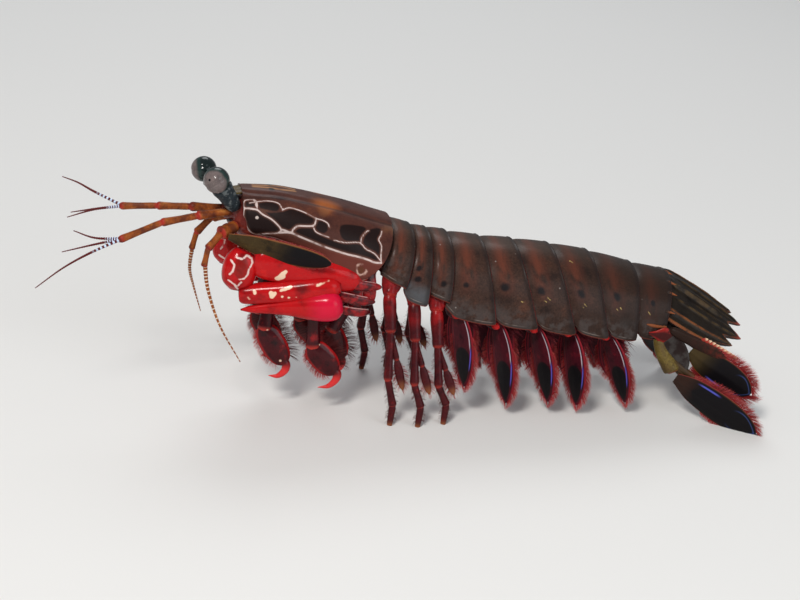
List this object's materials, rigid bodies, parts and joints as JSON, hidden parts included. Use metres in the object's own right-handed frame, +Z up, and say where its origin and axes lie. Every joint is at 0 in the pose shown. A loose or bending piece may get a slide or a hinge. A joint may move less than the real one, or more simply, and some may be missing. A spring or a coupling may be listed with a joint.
{
  "type": "mantis shrimp",
  "caption": "Life-size still mantis shrimp, walking: segmented dark shell, stalked eyes, folded red smashing claws, fringed swimmerets and a spined tail fan.",
  "frame": {"origin": "on the floor, under the centre of the bounding box", "axes": "+X from the head to the tail, along the body; +Y towards the animal's right side; +Z up from the floor"},
  "size_m": [0.1816, 0.0566, 0.0613],
  "materials": {
    "shell": "satin, dark olive brown with red-brown mottling",
    "claw": "glossy, crimson with cream spots",
    "limb": "satin, dark maroon",
    "feeler": "satin, orange",
    "fan": "satin, near black with blue and red edges",
    "cornea": "glossy, pinkish grey",
    "stalk": "satin, dark blue grey"
  },
  "bodies": {
    "root": {"abdomen_1": "shell", "abdomen_2": "shell", "abdomen_3": "shell", "abdomen_4": "shell", "abdomen_5": "shell", "abdomen_6": "shell", "thorax_6": "shell", "thorax_7": "shell", "thorax_8": "shell", "carapace": "shell", "rostral_plate": "shell", "head": "limb", "telson": "shell", "eye_left": "cornea", "eyestalk_left": "stalk", "antennule_left": "feeler", "antenna_left": "feeler", "antennal_scale_left": "fan", "raptorial_merus_left": "claw", "raptorial_carpus_left": "claw", "raptorial_propodus_left": "claw", "raptorial_dactyl_left": "claw", "maxilliped_3_left": "limb", "maxilliped_4_left": "limb", "maxilliped_5_left": "limb", "walking_leg_1_left": "limb", "walking_leg_2_left": "limb", "walking_leg_3_left": "limb", "swimmeret_1_left": "limb", "swimmeret_2_left": "limb", "swimmeret_3_left": "limb", "swimmeret_4_left": "limb", "swimmeret_5_left": "limb", "uropod_protopod_left": "shell", "uropod_exopod_left": "fan", "uropod_endopod_left": "fan", "eye_right": "cornea", "eyestalk_right": "stalk", "antennule_right": "feeler", "antenna_right": "feeler", "antennal_scale_right": "fan", "raptorial_merus_right": "claw", "raptorial_carpus_right": "claw", "raptorial_propodus_right": "claw", "raptorial_dactyl_right": "claw", "maxilliped_3_right": "limb", "maxilliped_4_right": "limb", "maxilliped_5_right": "limb", "walking_leg_1_right": "limb", "walking_leg_2_right": "limb", "walking_leg_3_right": "limb", "swimmeret_1_right": "limb", "swimmeret_2_right": "limb", "swimmeret_3_right": "limb", "swimmeret_4_right": "limb", "swimmeret_5_right": "limb", "uropod_protopod_right": "shell", "uropod_exopod_right": "fan", "uropod_endopod_right": "fan"}
  },
  "joints": []
}
